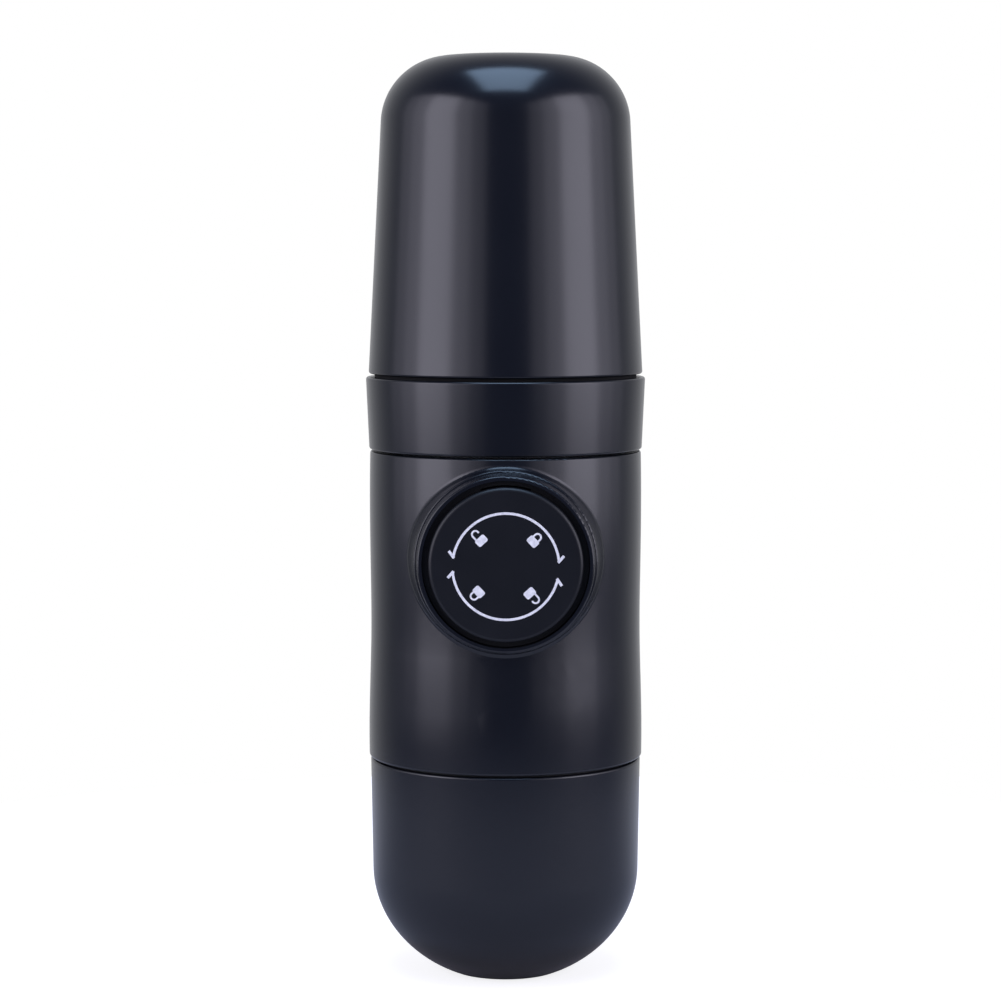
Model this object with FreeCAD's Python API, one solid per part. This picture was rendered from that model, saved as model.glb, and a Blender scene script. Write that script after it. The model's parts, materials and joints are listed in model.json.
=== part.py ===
# Handheld manual espresso maker, stored upright: cup on top, water tank below.
# Millimetres. +Z is up, the pump knob faces -Y, and the origin is the middle of the tank's foot.
import FreeCAD
import Part
import math
import os
from FreeCAD import Vector

# Stack of the outer pieces, from the foot up
overall_height = 199.0
tank_height = 47.2
tank_seam = 0.4
body_height = 66.6
head_seam = 0.4
band_height = 15.6
cup_groove_height = 0.7

# Outer radii: the body's own, and how far the other outlines stand out from it or back from it
body_radius = 29.3
body_top_flare = 0.1
body_bottom_flare = 0.45
body_straight_length = 25.0
body_flare_start = 27.0
body_flare_end = 9.0
band_bottom_flare = 0.2
band_top_flare = 1.0
cup_rim_flare = 0.4
cup_taper = 3.5
cup_corner_radius = 14.4
cup_groove_depth = 1.4
tank_rim_flare = 0.15
dome_inset = 0.4
dome_height = 23.0
foot_radius = 12.0

# Walls, edge roundings and gaps
tank_wall = 2.75
tank_floor = 2.0
body_wall = 2.2
collar_wall = 3.2
spigot_wall = 2.3
cup_wall = 1.8
cup_floor = 2.0
edge_rounding = 0.5
fixed_gap = 0.1
moving_gap = 0.4
seal_gap = 0.05
overcut = 1.0

# Pump, on an axis towards -Y
pump_bore_radius = 7.0
pump_stroke = 18.0
cylinder_wall = 2.0
housing_wall = 3.0
cylinder_mouth_margin = 0.5
cylinder_lead_in = 0.8
cylinder_collar_width = 1.4
cylinder_collar_thickness = 1.5
cylinder_seal_place = 2.0
cylinder_seal_length = 1.6
cylinder_seal_depth = 1.0
piston_length = 7.5
piston_end_gap = 0.2
piston_land_gap = 0.2
piston_seal_place = 1.5
piston_seal_length = 2.4
piston_seal_depth = 1.6
piston_seal_rounding = 0.3
wear_ring_place = 4.7
wear_ring_length = 1.6
wear_ring_depth = 1.2
rod_radius = 3.5
rod_shoulder_radius = 5.0
rod_shoulder_thickness = 2.0
cross_port_radius = 1.2

# Knob, its boss on the body and its guide sleeve
knob_radius = 16.05
knob_stand = 1.0
knob_cap_thickness = 3.0
knob_edge_rounding = 0.85
knob_back_rounding = 0.3
knob_overhang = 1.05
knob_ring_gap = 1.35
knob_play = 0.1
knob_shoulder_gap = 0.3
skirt_wall = 1.6
knob_web_thickness = 4.0
knob_web_floor = 1.9
knob_peg_count = 3
knob_peg_radius = 1.2
knob_peg_length = 1.8
knob_peg_circle = 9.0
knob_washer_thickness = 0.6
knob_screw_radius = 1.5
knob_screw_length = 6.0
knob_screw_head_radius = 3.0
knob_screw_head_height = 1.1
knob_screw_head_rounding = 0.4
lug_thickness = 2.7
lug_angle = 30.0
lug_slot_play = 8.0
lug_root = 0.5
lug_back_gap = 1.3
lug_front_gap = 0.1
boss_stand = 6.5
boss_rim_width = 0.9
boss_wall_height = 4.8
boss_rim_rounding = 0.4
boss_shoulder_width = 0.8
boss_shoulder_rounding = 0.35
boss_top_margin = 3.05
boss_draft = 9.0
boss_draft_length = 11.0
boss_foot_rounding = 1.1
sleeve_wall = 1.0
sleeve_land_gap = 0.3
sleeve_back_thickness = 2.5
sleeve_land_width = 2.2
sleeve_headroom = 0.5
sleeve_screw_count = 3
sleeve_screw_first_angle = 30.0
sleeve_screw_radius = 1.0
sleeve_screw_head_radius = 1.7
sleeve_screw_head_margin = 0.2
sleeve_screw_length = 4.6
spring_wire_radius = 0.7
spring_side_gap = 0.9
spring_turns = 6
wire_sides = 8

# Screwed necks
thread_pitch = 3.0
thread_height = 0.9
thread_sink = 0.3
thread_base_width = 1.3
thread_crest_width = 0.6
thread_turns = 1.0
thread_end_margin = 0.2
neck_root_gap = 1.3
tank_neck_length = 8.0
tank_neck_wall = 2.7
head_neck_length = 8.1
head_neck_wall = 2.4
lower_plate_thickness = 4.0
upper_plate_thickness = 2.5
rib_thickness = 3.0
rib_end_gap = 4.0
tank_seal_gap = 0.35
tank_seal_width = 1.45
tank_seal_height = 1.6
head_seal_inset = 0.3
head_seal_width = 1.8
head_seal_height = 1.5

# Check valves, on a vertical axis behind the cylinder
valve_wall_gap = 0.3
valve_bush_radius = 5.0
valve_flange_width = 1.2
valve_flange_thickness = 1.0
valve_column_wall = 2.5
valve_hole_radius = 1.6
valve_seat_radius = 3.2
valve_port_radius = 1.5
inlet_bush_length = 6.3
inlet_chamber_length = 6.5
inlet_spring_turns = 4
outlet_bush_length = 4.0
outlet_cage_length = 6.0
outlet_cage_roof = 0.8
outlet_cage_recess = 0.5
outlet_spring_turns = 3
ball_radius = 2.5
ball_play = 0.6
valve_spring_wire_radius = 0.2
valve_spring_inset = 0.6
valve_spring_gap = 0.1
strainer_inset = 0.6
strainer_length = 4.4
strainer_wall = 0.8
strainer_hole_radius = 0.5
strainer_holes_in_row = 10
strainer_rows = 2
strainer_first_row = 1.7
strainer_row_spacing = 1.6

# Vent valve in the tank's ceiling
vent_wall_gap = 4.9
vent_stem_radius = 2.4
vent_flange_radius = 3.6
vent_flange_thickness = 1.0
vent_button_inset = 0.6
vent_button_height = 0.8
vent_hole_radius = 0.6
vent_bill_length = 4.7
vent_bill_thickness = 0.8

# Coffee chamber and outlet
insert_gap = 0.3
screen_thickness = 0.7
screen_hole_radius = 0.6
screen_hole_margin = 4.5
screen_water_depth = 1.2
screen_ledge_width = 2.1
screen_boss_radius = 4.0
screen_screw_radius = 1.5
screen_screw_length = 4.0
screen_screw_head_radius = 3.0
screen_screw_head_height = 1.2
screen_screw_head_rounding = 0.5
screw_slot_width = 0.8
screw_slot_depth = 0.6
gasket_width = 1.8
gasket_height = 2.0
basket_rim_width = 2.1
basket_rim_thickness = 0.7
basket_wall = 0.4
basket_height = 14.2
basket_hole_radius = 0.45
basket_hole_margin = 2.5
hole_ring_spacing = 3.4
funnel_skirt_wall = 1.5
funnel_skirt_gap = 0.3
funnel_wall = 1.6
funnel_cone_height = 9.0
collar_web_thickness = 2.5
spigot_height = 6.4
spout_length = 9.0
spout_base_radius = 4.8
spout_tip_radius = 3.9
spout_bore_radius = 1.8
spout_lip_width = 0.8
spout_mouth_depth = 3.0
grip_ring_section = 0.9
grip_ring_height = 2.4
grip_ring_gap = 0.15

# Radii that follow
body_bottom_radius = body_radius + body_bottom_flare
body_top_radius = body_radius + body_top_flare
cavity_radius = body_radius - body_wall
frame_radius = cavity_radius - fixed_gap
band_bottom_radius = body_radius + band_bottom_flare
band_top_radius = body_radius + band_top_flare
collar_inner_radius = band_bottom_radius - collar_wall
head_neck_radius = collar_inner_radius - neck_root_gap
chamber_radius = head_neck_radius - head_neck_wall
screen_radius = chamber_radius - insert_gap
basket_rim_radius = chamber_radius - insert_gap
basket_radius = basket_rim_radius - basket_rim_width
funnel_skirt_radius = chamber_radius - moving_gap
cup_rim_radius = body_radius + cup_rim_flare
cup_top_radius = cup_rim_radius - cup_taper
cup_groove_radius = cup_rim_radius - cup_groove_depth
tank_rim_radius = body_radius + tank_rim_flare
dome_radius = tank_rim_radius - dome_inset
tank_inner_radius = tank_rim_radius - tank_wall
tank_neck_radius = tank_inner_radius - neck_root_gap
tank_neck_room_radius = tank_neck_radius - tank_neck_wall
tank_seal_radius = tank_neck_radius + thread_height + tank_seal_gap
cylinder_radius = pump_bore_radius + cylinder_wall
cylinder_collar_radius = cylinder_radius + cylinder_collar_width
housing_radius = cylinder_radius + housing_wall
piston_land_radius = pump_bore_radius - piston_land_gap
piston_seal_floor = piston_land_radius - piston_seal_depth
wear_ring_floor = piston_land_radius - wear_ring_depth
boss_bore_radius = knob_radius + knob_ring_gap
boss_rim_radius = boss_bore_radius + boss_rim_width
boss_shoulder_radius = boss_rim_radius + boss_shoulder_width
boss_wall_radius = boss_shoulder_radius - boss_shoulder_rounding
sleeve_radius = boss_bore_radius - fixed_gap
lug_path_radius = sleeve_radius - sleeve_wall
lug_radius = lug_path_radius - sleeve_land_gap
skirt_radius = knob_radius - knob_overhang
land_radius = skirt_radius + sleeve_land_gap
sleeve_screw_circle = lug_path_radius - sleeve_screw_head_radius - sleeve_screw_head_margin
spring_mean_radius = skirt_radius - skirt_wall - spring_side_gap - spring_wire_radius
valve_flange_radius = valve_bush_radius + valve_flange_width
valve_column_radius = valve_bush_radius + valve_column_wall
ball_chamber_radius = ball_radius + ball_play
valve_spring_mean_radius = ball_radius - valve_spring_inset
strainer_radius = valve_flange_radius - strainer_inset

# Distances along the pump axis, outwards from the middle of the body
boss_reach = body_radius + boss_stand
boss_shoulder_reach = boss_reach - boss_wall_height
knob_face_reach = boss_reach + knob_stand
cap_back = knob_face_reach - knob_cap_thickness
web_back = cap_back - knob_web_thickness
web_seat = web_back + knob_web_floor + knob_play
washer_front = web_seat + knob_washer_thickness
sleeve_front = cap_back - sleeve_land_gap
lip_back = sleeve_front - sleeve_land_width
gate_back = lip_back - lug_front_gap - pump_stroke
skirt_back = gate_back - lug_thickness
sleeve_floor = skirt_back - lug_back_gap
sleeve_back_reach = sleeve_floor - sleeve_back_thickness
pad_back = sleeve_back_reach - sleeve_back_thickness
piston_end = -pump_stroke / 2
piston_front = piston_end + piston_length
cylinder_floor = piston_end - piston_end_gap
cylinder_back = cylinder_floor - cylinder_wall
cylinder_mouth = piston_front + pump_stroke + cylinder_mouth_margin
cylinder_seal_back = cylinder_back + cylinder_seal_place
cylinder_seal_front = cylinder_seal_back + cylinder_seal_length

# Levels that follow from the stack
body_bottom = tank_height + tank_seam
body_top = body_bottom + body_height
band_bottom = body_top + head_seam
band_top = band_bottom + band_height
cup_rim = band_top + cup_groove_height
cup_ceiling = overall_height - cup_floor
pump_axis_height = body_top - boss_rim_radius - boss_top_margin
lower_plate_top = body_bottom + lower_plate_thickness
tank_neck_end = body_bottom - tank_neck_length
head_neck_top = body_top + head_neck_length
upper_plate_bottom = pump_axis_height + sleeve_radius + sleeve_headroom
upper_plate_top = upper_plate_bottom + upper_plate_thickness
screen_level = upper_plate_top + screen_water_depth
gasket_level = screen_level + screen_thickness
basket_mouth = gasket_level + gasket_height
basket_end = basket_mouth + basket_height
collar_web_bottom = head_neck_top + head_seal_height
collar_web_top = collar_web_bottom + collar_web_thickness
funnel_roof = basket_end + moving_gap
funnel_top = funnel_roof + funnel_wall + funnel_cone_height
spout_tip = funnel_top + spout_length
spigot_top = cup_rim + spigot_height
grip_ring_middle = cup_rim + grip_ring_height
inlet_flange_bottom = body_bottom - valve_flange_thickness
inlet_bush_top = body_bottom + inlet_bush_length
inlet_chamber_top = inlet_bush_top + inlet_chamber_length
outlet_cage_top = upper_plate_top - outlet_cage_recess
outlet_cage_ceiling = outlet_cage_top - outlet_cage_roof
outlet_bush_top = outlet_cage_top - outlet_cage_length
outlet_bush_bottom = outlet_bush_top - outlet_bush_length
tank_seal_bottom = body_bottom - tank_seal_height

# Each ridge lies half a pitch from the one it catches: the tank's above, the collar's below
thread_margin = thread_base_width / 2 + thread_end_margin
tank_neck_ridge = tank_neck_end + thread_margin
tank_ridge = tank_neck_ridge + thread_pitch / 2
head_neck_ridge = head_neck_top - thread_margin - thread_pitch * thread_turns
collar_ridge = head_neck_ridge - thread_pitch / 2

# Places of the valves in the lower plate
valve_axis_y = tank_neck_room_radius - valve_flange_radius - valve_wall_gap
vent_y = vent_wall_gap + vent_flange_radius - tank_neck_room_radius


def rounded_wire(corners):
    """Closed wire in the XZ plane through (radius, height) corners, with a rounding where one is given."""
    places = [Vector(corner[0], 0, corner[1]) for corner in corners]
    spans = []
    for i, corner in enumerate(corners):
        here = places[i]
        if len(corner) == 2:
            spans.append((here, here, here))
            continue
        back = (places[i - 1] - here).normalize()
        on = (places[(i + 1) % len(places)] - here).normalize()
        half = back.getAngle(on) / 2
        inward = (back + on).normalize()
        reach = corner[2] / math.tan(half)
        middle = here + inward * (corner[2] / math.sin(half) - corner[2])
        spans.append((here + back * reach, middle, here + on * reach))
    edges = []
    for i, (start, middle, stop) in enumerate(spans):
        if start.distanceToPoint(stop) > 1e-6:
            edges.append(Part.Arc(start, middle, stop).toShape())
        following = spans[(i + 1) % len(spans)][0]
        if stop.distanceToPoint(following) > 1e-6:
            edges.append(Part.LineSegment(stop, following).toShape())
    return Part.Wire(edges)


def revolved(wire):
    return Part.Face(wire).revolve(Vector(0, 0, 0), Vector(0, 0, 1), 360)


def turned(*corners):
    """A solid of revolution about Z from its half section."""
    return revolved(rounded_wire(corners))


def rod(radius, bottom, top, x=0.0, y=0.0):
    return Part.makeCylinder(radius, top - bottom, Vector(x, y, bottom))


def tube(outer, inner, bottom, top):
    return rod(outer, bottom, top).cut(rod(inner, bottom - overcut, top + overcut))


def around(count, circle, first_angle=0.0):
    """Places evenly round a circle about Z."""
    angles = [math.radians(first_angle + 360 * i / count) for i in range(count)]
    return [(circle * math.cos(angle), circle * math.sin(angle)) for angle in angles]


def onto_pump_axis(shape):
    """Turns a shape made about Z so that its height runs out along the pump axis."""
    placed = shape.copy()
    placed.rotate(Vector(0, 0, 0), Vector(1, 0, 0), 90)
    placed.translate(Vector(0, 0, pump_axis_height))
    return placed


def onto_valve_axis(shape):
    placed = shape.copy()
    placed.translate(Vector(0, valve_axis_y, 0))
    return placed


def sector(outer, inner, bottom, top, angle, middle_angle):
    """A slice of a ring, centred on an angle about Z."""
    ring = turned((inner, bottom), (outer, bottom), (outer, top), (inner, top))
    half = math.radians(angle / 2)
    reach = outer / math.cos(half) + overcut
    corners = [Vector(0, 0, bottom), Vector(reach * math.cos(half), -reach * math.sin(half), bottom),
               Vector(reach * math.cos(half), reach * math.sin(half), bottom), Vector(0, 0, bottom)]
    wedge = Part.Face(Part.makePolygon(corners)).extrude(Vector(0, 0, top - bottom))
    piece = ring.common(wedge)
    piece.rotate(Vector(0, 0, 0), Vector(0, 0, 1), middle_angle)
    return piece


def thread_ridge(wall_radius, outwards, start):
    """A helical ridge that stands out of a wall; a little of it is sunk into the wall."""
    side = 1 if outwards else -1
    base = wall_radius - side * thread_sink
    crest = wall_radius + side * thread_height
    section = Part.makePolygon([
        Vector(base, 0, start - thread_base_width / 2), Vector(crest, 0, start - thread_crest_width / 2),
        Vector(crest, 0, start + thread_crest_width / 2), Vector(base, 0, start + thread_base_width / 2),
        Vector(base, 0, start - thread_base_width / 2)])
    helix = Part.makeHelix(thread_pitch, thread_pitch * thread_turns, wall_radius)
    helix.translate(Vector(0, 0, start))
    return Part.Wire(helix.Edges).makePipeShell([section], True, True)


def coil(mean_radius, wire_radius, bottom, top, turns):
    """A helical spring whose end turns rest on two levels."""
    low = bottom + wire_radius
    height = top - bottom - 2 * wire_radius
    helix = Part.makeHelix(height / turns, height, mean_radius)
    helix.translate(Vector(0, 0, low))
    corners = []
    for i in range(wire_sides + 1):
        angle = 2 * math.pi * i / wire_sides
        corners.append(Vector(mean_radius + wire_radius * math.cos(angle), 0,
                              low + wire_radius * math.sin(angle)))
    return Part.Wire(helix.Edges).makePipeShell([Part.makePolygon(corners)], True, True)


def hole_rings(disc_radius, hole_radius, bottom, top, boss_radius=0.0):
    """Drill pins on concentric rings that fill a disc clear of its middle, six more on each ring outwards."""
    pins = []
    first_ring = int(boss_radius / hole_ring_spacing) + 1
    last_ring = int(disc_radius / hole_ring_spacing)
    for ring in range(first_ring, last_ring + 1):
        for x, y in around(6 * ring, ring * hole_ring_spacing):
            pins.append(rod(hole_radius, bottom - overcut, top + overcut, x, y))
    return Part.makeCompound(pins)


# Cup

def cup_inner_radius(height):
    slope = cup_taper / (overall_height - cup_rim)
    return cup_rim_radius - slope * (height - cup_rim) - cup_wall


def make_cup():
    outside = turned((0, cup_rim), (cup_rim_radius, cup_rim, edge_rounding),
                     (cup_top_radius, overall_height, cup_corner_radius), (0, overall_height))
    mouth = cup_rim - overcut
    hollow = turned((0, mouth), (cup_inner_radius(mouth), mouth),
                    (cup_inner_radius(cup_ceiling), cup_ceiling, cup_corner_radius - cup_wall),
                    (0, cup_ceiling))
    return outside.cut(hollow)


def make_cup_grip_ring():
    centre_radius = cup_inner_radius(grip_ring_middle) - grip_ring_gap - grip_ring_section
    return Part.makeTorus(centre_radius, grip_ring_section, Vector(0, 0, grip_ring_middle))


# Outlet head

def spigot_radius():
    return cup_inner_radius(spigot_top) - moving_gap


def make_outlet_collar():
    outside = turned((0, band_bottom), (band_bottom_radius, band_bottom, edge_rounding),
                     (band_top_radius, band_top, edge_rounding), (cup_groove_radius, band_top),
                     (cup_groove_radius, cup_rim), (spigot_radius(), cup_rim),
                     (spigot_radius(), spigot_top, edge_rounding), (0, spigot_top))
    thread_room = rod(collar_inner_radius, band_bottom - overcut, collar_web_bottom)
    web_hole = rod(funnel_skirt_radius + fixed_gap, band_bottom, collar_web_top + overcut)
    top_room = rod(spigot_radius() - spigot_wall, collar_web_top, spigot_top + overcut)
    groove_floor = cup_inner_radius(grip_ring_middle) - grip_ring_gap - 2 * grip_ring_section
    groove = tube(spigot_radius() + overcut, groove_floor, grip_ring_middle - grip_ring_section,
                  grip_ring_middle + grip_ring_section)
    collar = outside.cut(thread_room).cut(web_hole).cut(top_room).cut(groove)
    return collar.fuse(thread_ridge(collar_inner_radius, False, collar_ridge)).removeSplitter()


def make_outlet_funnel():
    flange_radius = spigot_radius() - spigot_wall - fixed_gap
    skirt_inner = funnel_skirt_radius - funnel_skirt_wall
    skirt_end = basket_mouth + basket_rim_thickness + funnel_skirt_gap
    flange_top = collar_web_top + funnel_wall
    outside = turned((0, skirt_end), (funnel_skirt_radius, skirt_end), (funnel_skirt_radius, collar_web_top),
                     (flange_radius, collar_web_top), (flange_radius, flange_top, edge_rounding),
                     (funnel_skirt_radius, flange_top),
                     (funnel_skirt_radius, funnel_roof + funnel_wall / 2, edge_rounding),
                     (spout_base_radius, funnel_top), (spout_tip_radius, spout_tip, edge_rounding),
                     (0, spout_tip))
    cone_top = funnel_top - funnel_wall
    basket_room = turned((0, skirt_end - overcut), (skirt_inner, skirt_end - overcut),
                         (skirt_inner, funnel_roof), (spout_bore_radius, cone_top), (0, cone_top))
    bore = rod(spout_bore_radius, funnel_roof, spout_tip + overcut)
    mouth_radius = spout_tip_radius - spout_lip_width
    mouth = turned((0, spout_tip - spout_mouth_depth), (spout_bore_radius, spout_tip - spout_mouth_depth),
                   (mouth_radius, spout_tip), (mouth_radius, spout_tip + overcut), (0, spout_tip + overcut))
    return outside.cut(basket_room).cut(bore).cut(mouth)


def make_head_seal():
    outer = head_neck_radius - head_seal_inset
    return tube(outer, outer - head_seal_width, head_neck_top, collar_web_bottom)


# Coffee chamber

def make_filter_basket():
    cup_part = rod(basket_radius, basket_mouth, basket_end)
    rim = rod(basket_rim_radius, basket_mouth, basket_mouth + basket_rim_thickness)
    room = rod(basket_radius - basket_wall, basket_mouth - overcut, basket_end - basket_wall)
    holes = hole_rings(basket_radius - basket_hole_margin, basket_hole_radius, basket_end, basket_end)
    return cup_part.fuse(rim).cut(room).cut(holes)


def make_basket_gasket():
    outer = chamber_radius - fixed_gap
    return tube(outer, outer - gasket_width, gasket_level, basket_mouth)


def make_shower_screen():
    disc = rod(screen_radius, screen_level, gasket_level)
    holes = hole_rings(screen_radius - screen_hole_margin, screen_hole_radius, screen_level, gasket_level,
                       screen_boss_radius)
    screw_hole = rod(screen_screw_radius + fixed_gap, screen_level - overcut, gasket_level + overcut)
    return disc.cut(holes).cut(screw_hole)


def make_shower_screw():
    head_top = gasket_level + screen_screw_head_height
    head = turned((0, gasket_level), (screen_screw_head_radius, gasket_level),
                  (screen_screw_head_radius, head_top, screen_screw_head_rounding), (0, head_top))
    shank = rod(screen_screw_radius, gasket_level - screen_screw_length, gasket_level)
    slot = Part.makeBox(2 * screen_screw_head_radius, screw_slot_width, screw_slot_depth)
    slot.translate(Vector(-screen_screw_head_radius, -screw_slot_width / 2, head_top - screw_slot_depth))
    return head.fuse(shank).cut(slot)


# Main body

def make_body_shell():
    side = Part.BSplineCurve()
    side.interpolate([Vector(body_top_radius, 0, body_top - edge_rounding),
                      Vector(body_top_radius, 0, body_top - body_straight_length),
                      Vector(body_radius, 0, body_bottom + body_flare_start),
                      Vector(body_bottom_radius, 0, body_bottom + body_flare_end),
                      Vector(body_bottom_radius, 0, body_bottom + edge_rounding)])
    corners = [Vector(body_bottom_radius - edge_rounding, 0, body_bottom), Vector(0, 0, body_bottom),
               Vector(0, 0, body_top), Vector(body_top_radius - edge_rounding, 0, body_top)]
    lines = [Part.LineSegment(corners[i], corners[i + 1]).toShape() for i in range(3)]
    diagonal = edge_rounding * (1 - math.sqrt(0.5))
    top_arc = Part.Arc(corners[3], Vector(body_top_radius - diagonal, 0, body_top - diagonal),
                       side.StartPoint).toShape()
    bottom_arc = Part.Arc(side.EndPoint, Vector(body_bottom_radius - diagonal, 0, body_bottom + diagonal),
                          corners[0]).toShape()
    outside = revolved(Part.Wire(lines + [top_arc, side.toShape(), bottom_arc]))
    boss_foot_radius = boss_shoulder_radius + boss_draft_length * math.tan(math.radians(boss_draft))
    boss = onto_pump_axis(turned((0, sleeve_back_reach), (boss_foot_radius, sleeve_back_reach),
                                 (boss_foot_radius, boss_shoulder_reach - boss_draft_length),
                                 (boss_shoulder_radius, boss_shoulder_reach, boss_shoulder_rounding),
                                 (boss_wall_radius, boss_shoulder_reach),
                                 (boss_rim_radius, boss_reach, boss_rim_rounding), (0, boss_reach)))
    shell = outside.fuse(boss)
    # The boss meets the round body in the only edges that are both tall and deep
    foot_edges = [edge for edge in shell.Edges
                  if edge.BoundBox.ZLength > edge_rounding and edge.BoundBox.YLength > edge_rounding]
    shell = shell.makeFillet(boss_foot_rounding, foot_edges)
    cavity = rod(cavity_radius, body_bottom - overcut, body_top + overcut)
    boss_bore = onto_pump_axis(rod(boss_bore_radius, 0, boss_reach + overcut))
    return shell.cut(cavity).cut(boss_bore)


def make_pump_frame():
    lower_plate = rod(frame_radius, body_bottom, lower_plate_top)
    lower_neck = rod(tank_neck_radius, tank_neck_end, body_bottom)
    lower_room = rod(tank_neck_room_radius, tank_neck_end - overcut, body_bottom)
    upper_plate = rod(frame_radius, upper_plate_bottom, body_top)
    upper_neck = rod(head_neck_radius, body_top, head_neck_top)
    chamber = rod(chamber_radius, screen_level, head_neck_top + overcut)
    water_room = rod(chamber_radius - screen_ledge_width, upper_plate_top, screen_level)
    screen_boss = rod(screen_boss_radius, upper_plate_top, screen_level)
    housing = onto_pump_axis(rod(housing_radius, -valve_axis_y, sleeve_back_reach))
    pad = onto_pump_axis(rod(sleeve_radius, pad_back, sleeve_back_reach))
    column = onto_valve_axis(rod(valve_column_radius, lower_plate_top, upper_plate_bottom))
    rib_height = upper_plate_bottom - lower_plate_top
    rib = Part.makeBox(rib_thickness, valve_axis_y + pad_back, rib_height)
    rib.translate(Vector(-rib_thickness / 2, -pad_back, lower_plate_top))
    cross_rib = Part.makeBox(2 * (frame_radius - rib_end_gap), rib_thickness, rib_height)
    cross_rib.translate(Vector(rib_end_gap - frame_radius, -rib_thickness / 2, lower_plate_top))
    frame = lower_plate.fuse([lower_neck, upper_plate, upper_neck, housing, pad, column, rib, cross_rib])
    frame = frame.cut(lower_room).cut(chamber).cut(water_room.cut(screen_boss))
    bores = [onto_pump_axis(rod(cylinder_radius + seal_gap, cylinder_back, sleeve_back_reach + overcut)),
             onto_pump_axis(rod(cylinder_collar_radius + fixed_gap,
                                sleeve_back_reach - cylinder_collar_thickness, sleeve_back_reach + overcut)),
             onto_pump_axis(rod(cross_port_radius, -valve_axis_y, cylinder_back)),
             onto_valve_axis(rod(valve_bush_radius + seal_gap, body_bottom - overcut, inlet_bush_top)),
             onto_valve_axis(rod(ball_chamber_radius, inlet_bush_top, inlet_chamber_top)),
             onto_valve_axis(rod(valve_port_radius, inlet_chamber_top, outlet_bush_bottom)),
             onto_valve_axis(rod(valve_bush_radius + seal_gap, outlet_bush_bottom, upper_plate_top)),
             rod(vent_stem_radius + seal_gap, body_bottom - overcut, lower_plate_top + overcut, 0, vent_y),
             rod(screen_screw_radius + seal_gap, upper_plate_bottom - overcut, screen_level + overcut)]
    bores += [onto_pump_axis(pin) for pin in sleeve_screw_pins(sleeve_screw_radius + seal_gap)]
    for bore in bores:
        frame = frame.cut(bore)
    tank_thread = thread_ridge(tank_neck_radius, True, tank_neck_ridge)
    head_thread = thread_ridge(head_neck_radius, True, head_neck_ridge)
    return frame.fuse(tank_thread).fuse(head_thread)


# Check valves

def ball_level(bush_top):
    """Height of a ball's centre when it rests on a 45 degree seat that is cut into the bush's top."""
    return bush_top - valve_seat_radius + (ball_radius + seal_gap) * math.sqrt(2)


def valve_bush(bottom, top):
    seat_depth = valve_seat_radius - valve_hole_radius
    return turned((valve_hole_radius, bottom), (valve_bush_radius, bottom), (valve_bush_radius, top),
                  (valve_seat_radius, top), (valve_hole_radius, top - seat_depth))


def make_inlet_seat():
    flange = tube(valve_flange_radius, valve_hole_radius, inlet_flange_bottom, body_bottom)
    return onto_valve_axis(valve_bush(body_bottom, inlet_bush_top).fuse(flange).removeSplitter())


def make_outlet_seat():
    return onto_valve_axis(valve_bush(outlet_bush_bottom, outlet_bush_top))


def valve_ball(bush_top):
    return onto_valve_axis(Part.makeSphere(ball_radius, Vector(0, 0, ball_level(bush_top))))


def make_inlet_ball():
    return valve_ball(inlet_bush_top)


def make_outlet_ball():
    return valve_ball(outlet_bush_top)


def valve_spring(bush_top, ceiling, turns):
    contact_height = math.sqrt(ball_radius ** 2 - valve_spring_mean_radius ** 2)
    bottom = ball_level(bush_top) + contact_height + valve_spring_gap
    return onto_valve_axis(coil(valve_spring_mean_radius, valve_spring_wire_radius, bottom, ceiling, turns))


def make_inlet_spring():
    return valve_spring(inlet_bush_top, inlet_chamber_top, inlet_spring_turns)


def make_outlet_spring():
    return valve_spring(outlet_bush_top, outlet_cage_ceiling, outlet_spring_turns)


def make_outlet_cage():
    cage = rod(valve_bush_radius, outlet_bush_top, outlet_cage_top)
    chamber = rod(ball_chamber_radius, outlet_bush_top, outlet_cage_ceiling)
    port = rod(valve_port_radius, outlet_bush_top, outlet_cage_top + overcut)
    return onto_valve_axis(cage.cut(chamber).cut(port))


def make_suction_strainer():
    bottom = inlet_flange_bottom - strainer_length
    strainer = rod(strainer_radius, bottom, inlet_flange_bottom)
    strainer = strainer.cut(rod(strainer_radius - strainer_wall, bottom + strainer_wall, inlet_flange_bottom))
    step = 360 / strainer_holes_in_row
    pins = []
    for row in range(strainer_rows):
        for i in range(strainer_holes_in_row):
            pin = rod(strainer_hole_radius, 0, strainer_radius + overcut)
            pin.rotate(Vector(0, 0, 0), Vector(0, 1, 0), 90)
            pin.translate(Vector(0, 0, bottom + strainer_first_row + strainer_row_spacing * row))
            pin.rotate(Vector(0, 0, 0), Vector(0, 0, 1), step * (i + row / 2))
            pins.append(pin)
    return onto_valve_axis(strainer.cut(Part.makeCompound(pins)))


def make_vent_valve():
    flange_bottom = body_bottom - vent_flange_thickness
    button_top = lower_plate_top + vent_button_height
    bill_end = flange_bottom - vent_bill_length
    stem = rod(vent_stem_radius, flange_bottom, button_top - vent_button_height / 2)
    flange = rod(vent_flange_radius, flange_bottom, body_bottom)
    button = rod(vent_flange_radius - vent_button_inset, lower_plate_top, button_top)
    ring = Part.Wire(Part.makeCircle(vent_stem_radius, Vector(0, 0, flange_bottom)))
    slit = Part.Ellipse(Vector(0, 0, bill_end), vent_stem_radius, vent_bill_thickness / 2)
    bill = Part.makeLoft([ring, Part.Wire(slit.toShape())], True)
    hole = rod(vent_hole_radius, flange_bottom - overcut, button_top + overcut)
    valve = stem.fuse([flange, button, bill]).cut(hole)
    valve.translate(Vector(0, vent_y, 0))
    return valve


# Pump

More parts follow.
